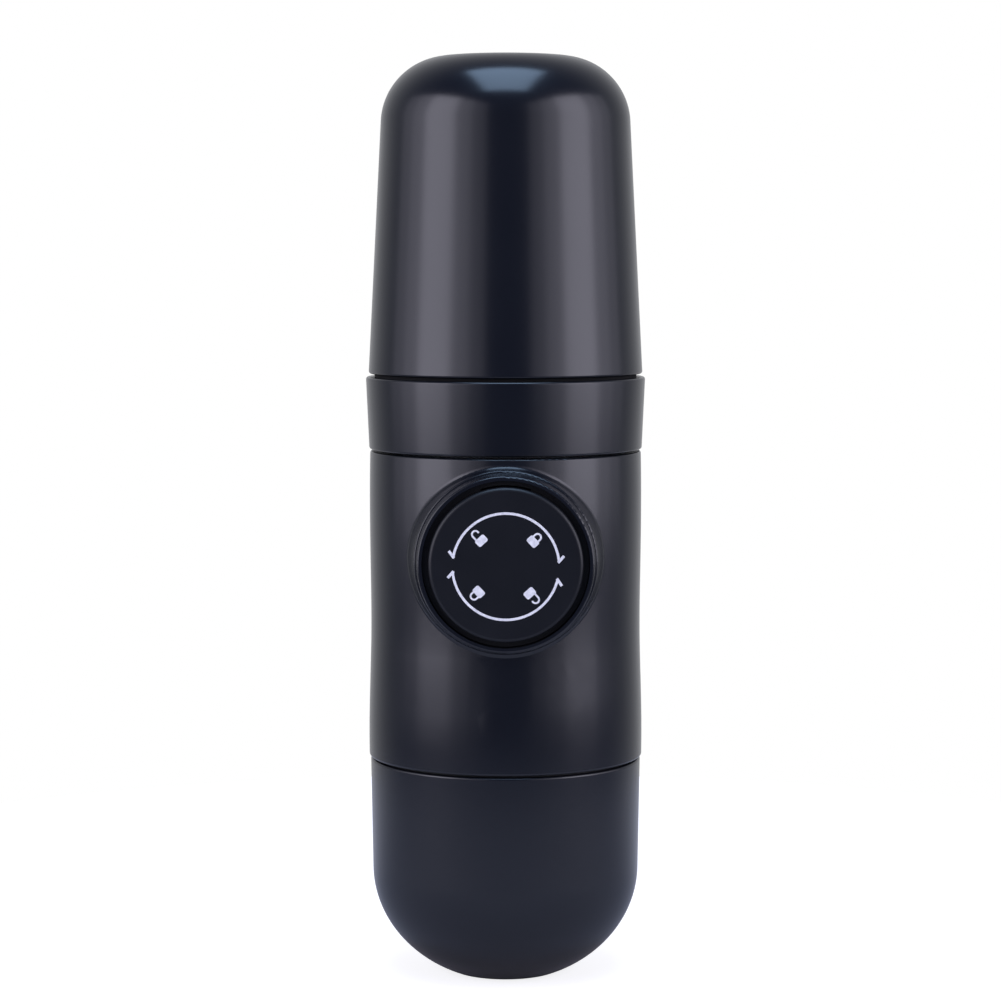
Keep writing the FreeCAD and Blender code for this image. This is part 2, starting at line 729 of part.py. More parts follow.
def make_pump_cylinder():
    barrel = rod(cylinder_radius, cylinder_back, cylinder_mouth)
    collar = rod(cylinder_collar_radius, sleeve_back_reach - cylinder_collar_thickness, sleeve_back_reach)
    bore = rod(pump_bore_radius, cylinder_floor, cylinder_mouth + overcut)
    port = rod(cross_port_radius, cylinder_back - overcut, cylinder_floor)
    lead_in = Part.makeCone(pump_bore_radius, pump_bore_radius + cylinder_lead_in, cylinder_lead_in,
                            Vector(0, 0, cylinder_mouth - cylinder_lead_in))
    groove = tube(cylinder_radius + overcut, cylinder_radius - cylinder_seal_depth,
                  cylinder_seal_back, cylinder_seal_front)
    return onto_pump_axis(barrel.fuse(collar).cut(bore).cut(port).cut(lead_in).cut(groove))


def make_cylinder_seal():
    inner = cylinder_radius - cylinder_seal_depth + seal_gap
    return onto_pump_axis(tube(cylinder_radius, inner, cylinder_seal_back, cylinder_seal_front))


def make_piston_rod():
    shoulder_front = web_back - knob_shoulder_gap
    seal_back = piston_end + piston_seal_place
    wear_back = piston_end + wear_ring_place
    head = rod(piston_land_radius, piston_end, piston_front)
    stem = rod(rod_radius, piston_front, web_seat)
    shoulder = rod(rod_shoulder_radius, shoulder_front - rod_shoulder_thickness, shoulder_front)
    groove_mouth = piston_land_radius + overcut
    seal_groove = tube(groove_mouth, piston_seal_floor, seal_back, seal_back + piston_seal_length)
    wear_groove = tube(groove_mouth, wear_ring_floor, wear_back, wear_back + wear_ring_length)
    screw_hole = rod(knob_screw_radius + seal_gap, washer_front - knob_screw_length - overcut,
                     web_seat + overcut)
    return onto_pump_axis(head.fuse([stem, shoulder]).cut(seal_groove).cut(wear_groove).cut(screw_hole))


def make_piston_seal():
    outer = pump_bore_radius - seal_gap
    inner = piston_seal_floor + seal_gap
    back = piston_end + piston_seal_place
    front = back + piston_seal_length
    return onto_pump_axis(turned((inner, back), (outer, back, piston_seal_rounding),
                                 (outer, front, piston_seal_rounding), (inner, front)))


def make_piston_wear_ring():
    back = piston_end + wear_ring_place
    return onto_pump_axis(tube(pump_bore_radius - seal_gap, wear_ring_floor + seal_gap,
                               back, back + wear_ring_length))


def make_return_spring():
    return onto_pump_axis(coil(spring_mean_radius, spring_wire_radius, sleeve_floor, web_back, spring_turns))


# Knob and its guide

def knob_peg_places():
    return around(knob_peg_count, knob_peg_circle, 90)


def make_knob_cap():
    disc = turned((0, cap_back), (knob_radius, cap_back, knob_back_rounding),
                  (knob_radius, knob_face_reach, knob_edge_rounding), (0, knob_face_reach))
    pegs = [rod(knob_peg_radius, cap_back - knob_peg_length, cap_back, x, y) for x, y in knob_peg_places()]
    return onto_pump_axis(disc.fuse(pegs))


def make_knob_skirt():
    drum = rod(skirt_radius, skirt_back, cap_back)
    room = rod(skirt_radius - skirt_wall, skirt_back - overcut, web_back)
    rod_hole = rod(rod_radius + seal_gap, web_back - overcut, web_back + knob_web_floor)
    washer_room = rod(rod_shoulder_radius + sleeve_land_gap, web_back + knob_web_floor, cap_back + overcut)
    skirt = drum.cut(room).cut(rod_hole).cut(washer_room)
    for x, y in knob_peg_places():
        skirt = skirt.cut(rod(knob_peg_radius + seal_gap, cap_back - knob_peg_length - fixed_gap,
                              cap_back + overcut, x, y))
    lugs = [sector(lug_radius, skirt_radius - lug_root, skirt_back, gate_back, lug_angle, angle)
            for angle in (0, 180)]
    return onto_pump_axis(skirt.fuse(lugs).removeSplitter())


def make_knob_washer():
    return onto_pump_axis(tube(rod_shoulder_radius, knob_screw_radius + fixed_gap, web_seat, washer_front))


def make_knob_screw():
    head_front = washer_front + knob_screw_head_height
    head = turned((0, washer_front), (knob_screw_head_radius, washer_front),
                  (knob_screw_head_radius, head_front, knob_screw_head_rounding), (0, head_front))
    return onto_pump_axis(head.fuse(rod(knob_screw_radius, washer_front - knob_screw_length, washer_front)))


def sleeve_screw_places():
    return around(sleeve_screw_count, sleeve_screw_circle, sleeve_screw_first_angle)


def sleeve_screw_pins(radius):
    return [rod(radius, sleeve_floor - sleeve_screw_length, sleeve_floor + overcut, x, y)
            for x, y in sleeve_screw_places()]


def make_guide_sleeve():
    gate_front = gate_back + sleeve_land_width
    slot_angle = lug_angle + lug_slot_play
    slot_inner = land_radius - overcut
    sleeve = rod(sleeve_radius, sleeve_back_reach, sleeve_front)
    cuts = [rod(lug_path_radius, sleeve_floor, gate_back),
            rod(land_radius, gate_back, sleeve_front + overcut),
            rod(lug_path_radius, gate_front, lip_back),
            rod(cylinder_radius + fixed_gap, sleeve_back_reach - overcut, sleeve_floor + overcut)]
    for angle in (0, 180):
        cuts.append(sector(lug_path_radius, slot_inner, gate_back - overcut, gate_front + overcut,
                           slot_angle, angle))
        cuts.append(sector(lug_path_radius, slot_inner, lip_back - overcut, sleeve_front + overcut,
                           slot_angle, angle + 90))
    cuts += sleeve_screw_pins(sleeve_screw_radius + seal_gap)
    sink = sleeve_screw_head_radius - sleeve_screw_radius
    for x, y in sleeve_screw_places():
        cuts.append(Part.makeCone(sleeve_screw_radius + seal_gap, sleeve_screw_head_radius + seal_gap, sink,
                                  Vector(x, y, sleeve_floor - sink)))
    for piece in cuts:
        sleeve = sleeve.cut(piece)
    return onto_pump_axis(sleeve)


def make_sleeve_screws():
    sink = sleeve_screw_head_radius - sleeve_screw_radius
    screws = []
    for x, y in sleeve_screw_places():
        shank = rod(sleeve_screw_radius, sleeve_floor - sleeve_screw_length, sleeve_floor - sink, x, y)
        head = Part.makeCone(sleeve_screw_radius, sleeve_screw_head_radius, sink - seal_gap,
                             Vector(x, y, sleeve_floor - sink))
        screws.append(shank.fuse(head))
    return onto_pump_axis(Part.makeCompound(screws))


# Water tank

def make_tank_seal():
    return tube(tank_seal_radius + tank_seal_width, tank_seal_radius, tank_seal_bottom, body_bottom)


def vessel(radius, pole, top_radius, top, flat_radius=0.0):
    """A closed round-ended solid; its ellipse is cut off at flat_radius by a level foot."""
    drop = dome_height - pole
    taper = (top_radius - radius) / (top - dome_height)
    start = math.atan(taper * drop / radius)
    end = math.acos(flat_radius / radius)

    def on_ellipse(angle):
        return Vector(radius * math.cos(angle), 0, dome_height - drop * math.sin(angle))

    side = Vector(radius, 0, dome_height)
    bottom = Vector(0, 0, pole)
    centre = Vector(0, 0, dome_height)
    if radius >= drop:
        arc = Part.ArcOfEllipse(Part.Ellipse(side, bottom, centre), start, end).toShape()
    else:
        arc = Part.ArcOfEllipse(Part.Ellipse(bottom, side, centre), math.pi / 2 - end,
                                math.pi / 2 - start).toShape()
    joint = on_ellipse(start)
    foot = on_ellipse(end)
    corners = [joint, Vector(top_radius, 0, top), Vector(0, 0, top), Vector(0, 0, foot.z)]
    if flat_radius > 0:
        corners.append(foot)
    lines = [Part.LineSegment(corners[i], corners[i + 1]).toShape() for i in range(len(corners) - 1)]
    return revolved(Part.Wire(Part.__sortEdges__(lines + [arc])))


def make_water_tank():
    squash = math.sqrt(1 - (foot_radius / dome_radius) ** 2)
    outer_pole = dome_height - dome_height / squash
    outside = vessel(dome_radius, outer_pole, tank_rim_radius, tank_height, foot_radius)
    rim = [edge for edge in outside.Edges
           if abs(edge.BoundBox.ZMin - tank_height) < 1e-6 and edge.BoundBox.XLength > tank_rim_radius]
    outside = outside.makeFillet(edge_rounding, rim)
    hollow = vessel(tank_inner_radius, tank_floor, tank_inner_radius, tank_height + overcut)
    seal_seat = rod(tank_seal_radius + tank_seal_width + fixed_gap, tank_seal_bottom, tank_height + overcut)
    tank = outside.cut(hollow).cut(seal_seat)
    return tank.fuse(thread_ridge(tank_inner_radius, False, tank_ridge)).removeSplitter()


makers = {
    "cup": make_cup,
    "cup_grip_ring": make_cup_grip_ring,
    "outlet_collar": make_outlet_collar,
    "outlet_funnel": make_outlet_funnel,
    "head_seal": make_head_seal,
    "filter_basket": make_filter_basket,
    "basket_gasket": make_basket_gasket,
    "shower_screen": make_shower_screen,
    "shower_screw": make_shower_screw,
    "body_shell": make_body_shell,
    "pump_frame": make_pump_frame,
    "inlet_seat": make_inlet_seat,
    "inlet_ball": make_inlet_ball,
    "inlet_spring": make_inlet_spring,
    "outlet_seat": make_outlet_seat,
    "outlet_ball": make_outlet_ball,
    "outlet_spring": make_outlet_spring,
    "outlet_cage": make_outlet_cage,
    "suction_strainer": make_suction_strainer,
    "vent_valve": make_vent_valve,
    "pump_cylinder": make_pump_cylinder,
    "cylinder_seal": make_cylinder_seal,
    "piston_rod": make_piston_rod,
    "piston_seal": make_piston_seal,
    "piston_wear_ring": make_piston_wear_ring,
    "return_spring": make_return_spring,
    "knob_cap": make_knob_cap,
    "knob_skirt": make_knob_skirt,
    "knob_washer": make_knob_washer,
    "knob_screw": make_knob_screw,
    "guide_sleeve": make_guide_sleeve,
    "sleeve_screws": make_sleeve_screws,
    "tank_seal": make_tank_seal,
    "water_tank": make_water_tank,
}

os.makedirs("parts", exist_ok=True)
for name, make in makers.items():
    shape = make()
    print(name, "valid" if shape.isValid() else "NOT VALID", len(shape.Solids), round(shape.Volume, 1))
    shape.exportStep("parts/" + name + ".step")
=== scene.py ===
import bpy
import bmesh
import json
import math
from mathutils import Matrix, Vector

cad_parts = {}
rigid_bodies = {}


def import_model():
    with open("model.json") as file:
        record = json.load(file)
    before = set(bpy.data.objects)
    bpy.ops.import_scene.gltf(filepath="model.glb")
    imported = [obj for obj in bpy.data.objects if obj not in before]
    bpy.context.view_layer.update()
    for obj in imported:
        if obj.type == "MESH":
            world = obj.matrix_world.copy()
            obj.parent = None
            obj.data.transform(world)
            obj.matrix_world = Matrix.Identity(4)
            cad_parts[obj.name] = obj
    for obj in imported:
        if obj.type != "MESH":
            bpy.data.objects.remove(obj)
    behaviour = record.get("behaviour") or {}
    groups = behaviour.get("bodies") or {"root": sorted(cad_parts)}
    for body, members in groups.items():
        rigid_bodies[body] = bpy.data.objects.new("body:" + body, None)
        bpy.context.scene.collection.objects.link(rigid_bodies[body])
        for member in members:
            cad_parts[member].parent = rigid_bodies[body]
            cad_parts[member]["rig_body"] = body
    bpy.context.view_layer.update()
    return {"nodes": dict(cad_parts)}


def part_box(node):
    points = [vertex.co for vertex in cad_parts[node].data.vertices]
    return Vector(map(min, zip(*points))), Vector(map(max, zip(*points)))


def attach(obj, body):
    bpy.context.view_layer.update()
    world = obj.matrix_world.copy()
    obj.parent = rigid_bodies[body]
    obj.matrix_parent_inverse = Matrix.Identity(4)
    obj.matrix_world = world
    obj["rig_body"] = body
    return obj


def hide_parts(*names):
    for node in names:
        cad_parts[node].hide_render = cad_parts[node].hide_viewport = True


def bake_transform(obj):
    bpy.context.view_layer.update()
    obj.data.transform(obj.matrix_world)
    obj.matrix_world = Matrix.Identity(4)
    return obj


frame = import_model()
nodes = frame["nodes"]
mm = 0.001
print("frame loaded:", len(nodes), "nodes")


# Colours and shader nodes

white = (1, 1, 1, 1)
# sockets of a Mix node that mixes colours, by number, because its other kinds use the same names
mixShare, mixFirst, mixSecond, mixResult = 0, 6, 7, 2


def hexLinear(code):
    # undoes the sRGB curve
    channels = [int(code[i:i + 2], 16) / 255 for i in (1, 3, 5)]
    linear = [c / 12.92 if c <= 0.04045 else ((c + 0.055) / 1.055) ** 2.4 for c in channels]
    return linear + [1.0]


def addNode(tree, kind, settings=None, links=None):
    node = tree.nodes.new(kind)
    for key, value in (settings or {}).items():
        if isinstance(key, str) and hasattr(node, key):
            setattr(node, key, value)
        else:
            node.inputs[key].default_value = value
    for key, source in (links or {}).items():
        tree.links.new(source, node.inputs[key])
    return node


def newMaterial(name):
    material = bpy.data.materials.new(name)
    material.use_nodes = True
    tree = material.node_tree
    tree.nodes.clear()
    return material, tree, addNode(tree, "ShaderNodeTexCoord").outputs["Object"]


def finishMaterial(tree, shader):
    addNode(tree, "ShaderNodeOutputMaterial", links={"Surface": shader.outputs[0]})


def perMm(size):
    # a texture's Scale for a feature of that size in millimetres
    return 1 / (size * mm)


# Materials

plastic = {"grainDetail": 3.0, "grainRoughness": 0.6, "grainBump": 0.5, "mottleDetail": 2.0, "glowMm": 1.5}


def mouldedPlastic(name, look):
    material, tree, place = newMaterial(name)
    # grain of the spark-eroded mould
    grain = addNode(tree, "ShaderNodeTexNoise",
                    {"Scale": perMm(look["grainMm"]), "Detail": plastic["grainDetail"],
                     "Roughness": plastic["grainRoughness"]},
                    {"Vector": place})
    bump = addNode(tree, "ShaderNodeBump",
                   {"Strength": plastic["grainBump"], "Distance": look["grainDepthMm"] * mm},
                   {"Height": grain.outputs["Fac"]})
    # slow change of tone and gloss, from uneven cooling and from hands
    mottle = addNode(tree, "ShaderNodeTexNoise",
                     {"Scale": perMm(look["mottleMm"]), "Detail": plastic["mottleDetail"]},
                     {"Vector": place})
    tone = addNode(tree, "ShaderNodeMix",
                   {"data_type": "RGBA", mixFirst: hexLinear(look["colour"]),
                    mixSecond: hexLinear(look["worn"])},
                   {mixShare: mottle.outputs["Fac"]})
    gloss = addNode(tree, "ShaderNodeMapRange",
                    {"To Min": look["roughness"] - look["roughnessSpread"],
                     "To Max": look["roughness"] + look["roughnessSpread"]},
                    {"Value": mottle.outputs["Fac"]})
    shader = addNode(tree, "ShaderNodeBsdfPrincipled",
                     {"IOR": look["ior"], "Specular IOR Level": look["specular"],
                      "Subsurface Weight": look.get("glow", 0.0), "Subsurface Scale": plastic["glowMm"] * mm},
                     {"Base Color": tone.outputs[mixResult], "Roughness": gloss.outputs["Result"],
                      "Normal": bump.outputs["Normal"]})
    finishMaterial(tree, shader)
    return material


glassy = {"flowDetail": 2.0, "flowBump": 0.3, "hazeSpread": 2, "transmission": 0.85}


def clearPlastic(name, look):
    material, tree, place = newMaterial(name)
    # flow marks of the melt, and the haze of a wall that coffee water has dulled
    flow = addNode(tree, "ShaderNodeTexNoise",
                   {"Scale": perMm(look["flowMm"]), "Detail": glassy["flowDetail"]},
                   {"Vector": place})
    haze = addNode(tree, "ShaderNodeMapRange",
                   {"To Min": look["roughness"], "To Max": look["roughness"] * glassy["hazeSpread"]},
                   {"Value": flow.outputs["Fac"]})
    bump = addNode(tree, "ShaderNodeBump",
                   {"Strength": glassy["flowBump"], "Distance": look["flowDepthMm"] * mm},
                   {"Height": flow.outputs["Fac"]})
    shader = addNode(tree, "ShaderNodeBsdfPrincipled",
                     {"Base Color": hexLinear(look["colour"]), "IOR": look["ior"],
                      "Transmission Weight": glassy["transmission"]},
                     {"Roughness": haze.outputs["Result"], "Normal": bump.outputs["Normal"]})
    finishMaterial(tree, shader)
    return material


elastic = {"skinDetail": 4.0, "skinBump": 0.6, "bloomDetail": 1.0, "sheen": 0.15, "sheenRoughness": 0.5}


def mouldedRubber(name, look):
    material, tree, place = newMaterial(name)
    skin = addNode(tree, "ShaderNodeTexNoise",
                   {"Scale": perMm(look["skinMm"]), "Detail": elastic["skinDetail"]},
                   {"Vector": place})
    bloom = addNode(tree, "ShaderNodeTexNoise",
                    {"Scale": perMm(look["bloomMm"]), "Detail": elastic["bloomDetail"]},
                    {"Vector": place})
    tone = addNode(tree, "ShaderNodeMix",
                   {"data_type": "RGBA", mixFirst: hexLinear(look["colour"]),
                    mixSecond: hexLinear(look["bloom"])},
                   {mixShare: bloom.outputs["Fac"]})
    bump = addNode(tree, "ShaderNodeBump",
                   {"Strength": elastic["skinBump"], "Distance": look["skinDepthMm"] * mm},
                   {"Height": skin.outputs["Fac"]})
    shader = addNode(tree, "ShaderNodeBsdfPrincipled",
                     {"Roughness": look["roughness"], "IOR": look["ior"], "Sheen Weight": elastic["sheen"],
                      "Sheen Roughness": elastic["sheenRoughness"],
                      "Transmission Weight": look.get("clear", 0.0)},
                     {"Base Color": tone.outputs[mixResult], "Normal": bump.outputs["Normal"]})
    finishMaterial(tree, shader)
    return material


steel = {"scratchDetail": 3.0, "scratchBump": 0.4, "smoothest": 0.7, "roughest": 1.4}


def stainlessSteel(name, look):
    material, tree, place = newMaterial(name)
    # scratches run the long way of the stretched noise
    stretch = addNode(tree, "ShaderNodeMapping", {"Scale": look["stretch"]}, {"Vector": place})
    scratches = addNode(tree, "ShaderNodeTexNoise",
                        {"Scale": perMm(look["scratchMm"]), "Detail": steel["scratchDetail"]},
                        {"Vector": stretch.outputs["Vector"]})
    roughness = addNode(tree, "ShaderNodeMapRange",
                        {"To Min": look["roughness"] * steel["smoothest"],
                         "To Max": look["roughness"] * steel["roughest"]},
                        {"Value": scratches.outputs["Fac"]})
    bump = addNode(tree, "ShaderNodeBump",
                   {"Strength": steel["scratchBump"], "Distance": look["depthMm"] * mm},
                   {"Height": scratches.outputs["Fac"]})
    shader = addNode(tree, "ShaderNodeBsdfPrincipled",
                     {"Base Color": hexLinear(look["colour"]), "Metallic": 1.0},
                     {"Roughness": roughness.outputs["Result"], "Normal": bump.outputs["Normal"]})
    finishMaterial(tree, shader)
    return material


inkFilm = {"patchDetail": 3.0, "thinBelow": 0.35, "fullAbove": 0.65}


def padPrint(name, look):
    material, tree, place = newMaterial(name)
    # ink is thinner where the silicone pad left it uneven
    patches = addNode(tree, "ShaderNodeTexNoise",
                      {"Scale": perMm(look["patchMm"]), "Detail": inkFilm["patchDetail"]},
                      {"Vector": place})
    cover = addNode(tree, "ShaderNodeMapRange",
                    {"From Min": inkFilm["thinBelow"], "From Max": inkFilm["fullAbove"]},
                    {"Value": patches.outputs["Fac"]})
    tone = addNode(tree, "ShaderNodeMix",
                   {"data_type": "RGBA", mixFirst: hexLinear(look["thin"]),
                    mixSecond: hexLinear(look["colour"])},
                   {mixShare: cover.outputs["Result"]})
    shader = addNode(tree, "ShaderNodeBsdfPrincipled",
                     {"Roughness": look["roughness"], "IOR": look["ior"]},
                     {"Base Color": tone.outputs[mixResult]})
    finishMaterial(tree, shader)
    return material


# sizes of grain, flow marks and scratches are in millimetres, and the finest are drawn coarser than real
materials = {
    # ABS with a fine spark-eroded grain: deep black with a trace of blue, broad soft highlights
    "satin": mouldedPlastic("satinBlackAbs", {
        "colour": "#0b0d14", "worn": "#0e1017", "roughness": 0.22, "roughnessSpread": 0.03, "specular": 0.5,
        "ior": 1.54, "grainMm": 0.35, "grainDepthMm": 0.003, "mottleMm": 16}),
    # the same ABS from a duller mould face, which print holds on: a weaker sheen than the body's
    "knob": mouldedPlastic("knobBlackAbs", {
        "colour": "#090b11", "worn": "#0c0e15", "roughness": 0.4, "roughnessSpread": 0.04, "specular": 0.36,
        "ior": 1.54, "grainMm": 0.3, "grainDepthMm": 0.004, "mottleMm": 9}),
    # ABS from a rough mould face: dull, nearly no highlight, and coloured darker than the body as painted
    # shade for the groove's recess
    "groove": mouldedPlastic("mattAbsPaintedGrooveShade", {
        "colour": "#060607", "worn": "#08080a", "roughness": 0.85, "roughnessSpread": 0.05, "specular": 0.3,
        "ior": 1.54, "grainMm": 0.4, "grainDepthMm": 0.01, "mottleMm": 6}),
    # polypropylene of the inner pieces: waxy, flatter black
    "inner": mouldedPlastic("innerBlackPolypropylene", {
        "colour": "#0b0b0d", "worn": "#121214", "roughness": 0.48, "roughnessSpread": 0.05, "specular": 0.4,
        "ior": 1.49, "grainMm": 0.5, "grainDepthMm": 0.006, "mottleMm": 8}),
    # acetal of the pump frame and rod: cool mid grey, dense, slightly greasy sheen
    "frame": mouldedPlastic("greyAcetal", {
        "colour": "#5b5f64", "worn": "#696d72", "roughness": 0.42, "roughnessSpread": 0.06, "specular": 0.5,
        "ior": 1.48, "grainMm": 0.6, "grainDepthMm": 0.006, "mottleMm": 10, "glow": 0.05}),
    # natural acetal of the small valve pieces: milky white, light goes a little way in
    "white": mouldedPlastic("naturalAcetal", {
        "colour": "#dcdcd6", "worn": "#cfcfc8", "roughness": 0.36, "roughnessSpread": 0.05, "specular": 0.5,
        "ior": 1.48, "grainMm": 0.5, "grainDepthMm": 0.004, "mottleMm": 5, "glow": 0.2}),
    # smoke-grey polycarbonate of the cylinder: see-through with a dulled wall
    "clear": clearPlastic("smokePolycarbonate", {
        "colour": "#a4abb2", "roughness": 0.09, "ior": 1.585, "flowMm": 5, "flowDepthMm": 0.01}),
    # nitrile rubber of the seals: dead black, matt, with a faint grey bloom
    "rubber": mouldedRubber("nitrileRubber", {
        "colour": "#0b0b0b", "bloom": "#17171a", "roughness": 0.72, "ior": 1.52, "skinMm": 0.25,
        "skinDepthMm": 0.01, "bloomMm": 4}),
    # unfilled silicone of the vent: hazy, pale and soft-edged
    "silicone": mouldedRubber("clearSilicone", {
        "colour": "#e6e9ea", "bloom": "#d6dbdd", "roughness": 0.45, "ior": 1.41, "skinMm": 0.4,
        "skinDepthMm": 0.01, "bloomMm": 3, "clear": 0.6}),
    # rolled stainless sheet of basket and screen: fine straight grain from the mill
    "sheet": stainlessSteel("rolledStainlessSheet", {
        "colour": "#c8c7c3", "roughness": 0.27, "stretch": (1, 0.04, 1), "scratchMm": 0.2, "depthMm": 0.003}),
    # bright-drawn spring wire: smooth, faint die lines
    "wire": stainlessSteel("drawnSpringWire", {
        "colour": "#bdbcb8", "roughness": 0.2, "stretch": (0.2, 0.2, 1), "scratchMm": 0.15,
        "depthMm": 0.002}),
    # lapped bearing balls: mirror with hardly a mark
    "ball": stainlessSteel("lappedSteelBall", {
        "colour": "#cdccc8", "roughness": 0.08, "stretch": (1, 1, 1), "scratchMm": 0.6, "depthMm": 0.0005}),
    # cold-headed screws and washer: plain bright steel with tool marks
    "screw": stainlessSteel("coldHeadedSteel", {
        "colour": "#b9b8b4", "roughness": 0.3, "stretch": (1, 1, 0.3), "scratchMm": 0.25, "depthMm": 0.004}),
    # white pad-printing ink on the knob
    "ink": padPrint("whitePadInk", {
        "colour": "#e4e4ee", "thin": "#c9c9d6", "roughness": 0.5, "ior": 1.48, "patchMm": 0.8}),
}
print("materials made:", len(materials))


# Making pieces: bmesh work is in millimetres, and the last step turns it to metres

turning = {"steps": 160, "sharpAngle": 35, "mergeDistance": 0.0005}
cornerSteps = {"fewest": 4, "most": 24, "perMm": 3, "spare": 3}
standing = Matrix.Rotation(math.radians(90), 4, "X")  # a height now runs out towards -Y


def turnedSize(nodeName):
    low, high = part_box(nodeName)
    return {"radius": high.x / mm, "bottom": low.z / mm, "top": high.z / mm}


def pumpSize(nodeName):
    low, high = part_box(nodeName)
    return {"radius": high.x / mm, "back": -high.y / mm, "front": -low.y / mm}


knobLow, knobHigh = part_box("knob_cap")
valveLow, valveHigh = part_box("inlet_ball")
pumpAxis = Matrix.Translation((0, 0, (knobLow.z + knobHigh.z) / 2)) @ standing
valveAxis = Matrix.Translation((0, (valveLow.y + valveHigh.y) / 2, 0))


def meshFrom(bm, name):
    mesh = bpy.data.meshes.new(name)
    bm.to_mesh(mesh)
    bm.free()
    return mesh


def newObject(name, data):
    made = bpy.data.objects.new(name, data)
    bpy.context.scene.collection.objects.link(made)
    return made


def roundCorner(bm, vertex, radius):
    here = vertex.co
    ends = [edge.other_vert(vertex).co - here for edge in vertex.link_edges]
    reach = radius / math.tan(ends[0].angle(ends[1]) / 2)
    steps = min(cornerSteps["most"], round(radius * cornerSteps["perMm"]) + cornerSteps["spare"])
    bmesh.ops.bevel(bm, geom=[vertex], offset=reach, offset_type="OFFSET",
                    segments=max(cornerSteps["fewest"], steps), profile=0.5, affect="VERTICES", material=-1)


def addSection(bm, corners):
    # (radius, height) corners in order, a third number rounds one; the wire closes unless it ends on the axis
    vertices = [bm.verts.new((corner[0], 0, corner[1])) for corner in corners]
    pairs = list(zip(vertices, vertices[1:]))
    if corners[0][0] > 0 or corners[-1][0] > 0:
        pairs.append((vertices[-1], vertices[0]))
    for pair in pairs:
        bm.edges.new(pair)
    for vertex, corner in zip(vertices, corners):
        if len(corner) > 2:
            roundCorner(bm, vertex, corner[2])


def spinAbout(bm, geom, angle, steps, rise=0, centre=(0, 0, 0), closed=False):
    # turns about the upright axis, rising a little at each step, and gives the edges that it ends on
    spun = bmesh.ops.spin(bm, geom=geom, cent=centre, axis=(0, 0, 1), dvec=(0, 0, rise), angle=angle,
                          steps=steps, use_merge=closed, use_normal_flip=False, use_duplicate=False)
    return [item for item in spun["geom_last"] if isinstance(item, bmesh.types.BMEdge)]


thread = {"pitch": 3.0, "turns": 1.0, "height": 0.9, "sink": 0.3, "base": 1.3, "crest": 0.6, "steps": 120}


def addThread(bm, wallRadius, side, start):
    # side is 1 for a ridge that stands outwards, -1 inwards
    base = wallRadius - side * thread["sink"]
    crest = wallRadius + side * thread["height"]
    section = [(base, start - thread["base"] / 2), (crest, start - thread["crest"] / 2),
               (crest, start + thread["crest"] / 2), (base, start + thread["base"] / 2)]
    vertices = [bm.verts.new((radius, 0, height)) for radius, height in section]
    edges = [bm.edges.new((vertices[i - 1], vertices[i])) for i in range(len(section))]
    last = spinAbout(bm, vertices + edges, math.tau * thread["turns"], thread["steps"],
                     thread["pitch"] * thread["turns"] / thread["steps"])
    bmesh.ops.holes_fill(bm, edges=edges + last, sides=len(section))


def finishPiece(bm, name, finish, replaced, body=None, place=Matrix(), sharp=turning["sharpAngle"]):
    # without a body the piece rides as the node that it replaces does, and "" leaves it attached to no body
    bmesh.ops.remove_doubles(bm, verts=bm.verts, dist=turning["mergeDistance"])
    bmesh.ops.recalc_face_normals(bm, faces=bm.faces)
    bm.transform(place @ Matrix.Scale(mm, 4))
    mesh = meshFrom(bm, name)
    mesh.materials.append(materials[finish])
    mesh.shade_smooth()
    mesh.set_sharp_from_angle(angle=math.radians(sharp))
    piece = newObject(name, mesh)
    # keeps long walls straight in shading
    weighted = piece.modifiers.new("weightedNormals", "WEIGHTED_NORMAL")
    weighted.keep_sharp = True
    if replaced:
        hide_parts(replaced)
    if body is None:
        body = nodes[replaced]["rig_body"]
    if body:
        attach(piece, body)
    return piece


def turnedPiece(name, finish, replaced, corners, place=Matrix(), steps=turning["steps"], threads=()):
    bm = bmesh.new()
    addSection(bm, corners)
    spinAbout(bm, bm.verts[:] + bm.edges[:], math.tau, steps, closed=True)
    for wallRadius, side, start in threads:
        addThread(bm, wallRadius, side, start)
    return finishPiece(bm, name, finish, replaced, place=place)


# Cup, upside down on the outlet head

cup = {"taper": 3.5, "corner": 14.4, "wall": 1.8, "floor": 2.0, "lip": 0.5, "innerLip": 0.3}
cupSize = turnedSize("cup")
cupSlope = cup["taper"] / (cupSize["top"] - cupSize["bottom"])


def cupInnerRadius(height):
    return cupSize["radius"] - cupSlope * (height - cupSize["bottom"]) - cup["wall"]


def makeCup():
    ceiling = cupSize["top"] - cup["floor"]
    turnedPiece("cupMoulding", "satin", "cup", [
        (0, cupSize["top"]),
        (cupSize["radius"] - cup["taper"], cupSize["top"], cup["corner"]),
        (cupSize["radius"], cupSize["bottom"], cup["lip"]),
        (cupInnerRadius(cupSize["bottom"]), cupSize["bottom"], cup["innerLip"]),
        (cupInnerRadius(ceiling), ceiling, cup["corner"] - cup["wall"]),
        (0, ceiling)])


makeCup()


# Outlet head: collar that screws on, funnel with the spout

collar = {"bandHeight": 15.6, "grooveHeight": 0.7, "grooveDepth": 1.9, "bottomInset": 0.7, "wall": 3.2,
          "edge": 0.5, "softEdge": 0.2, "grooveEdge": 0.1, "spigotGap": 0.4, "spigotWall": 2.3,
          "webBottom": 9.2, "webThickness": 2.5, "webBore": 22.3, "gripHeight": 2.4, "gripSection": 0.9,
          "gripGap": 0.15, "ridge": 2.35}


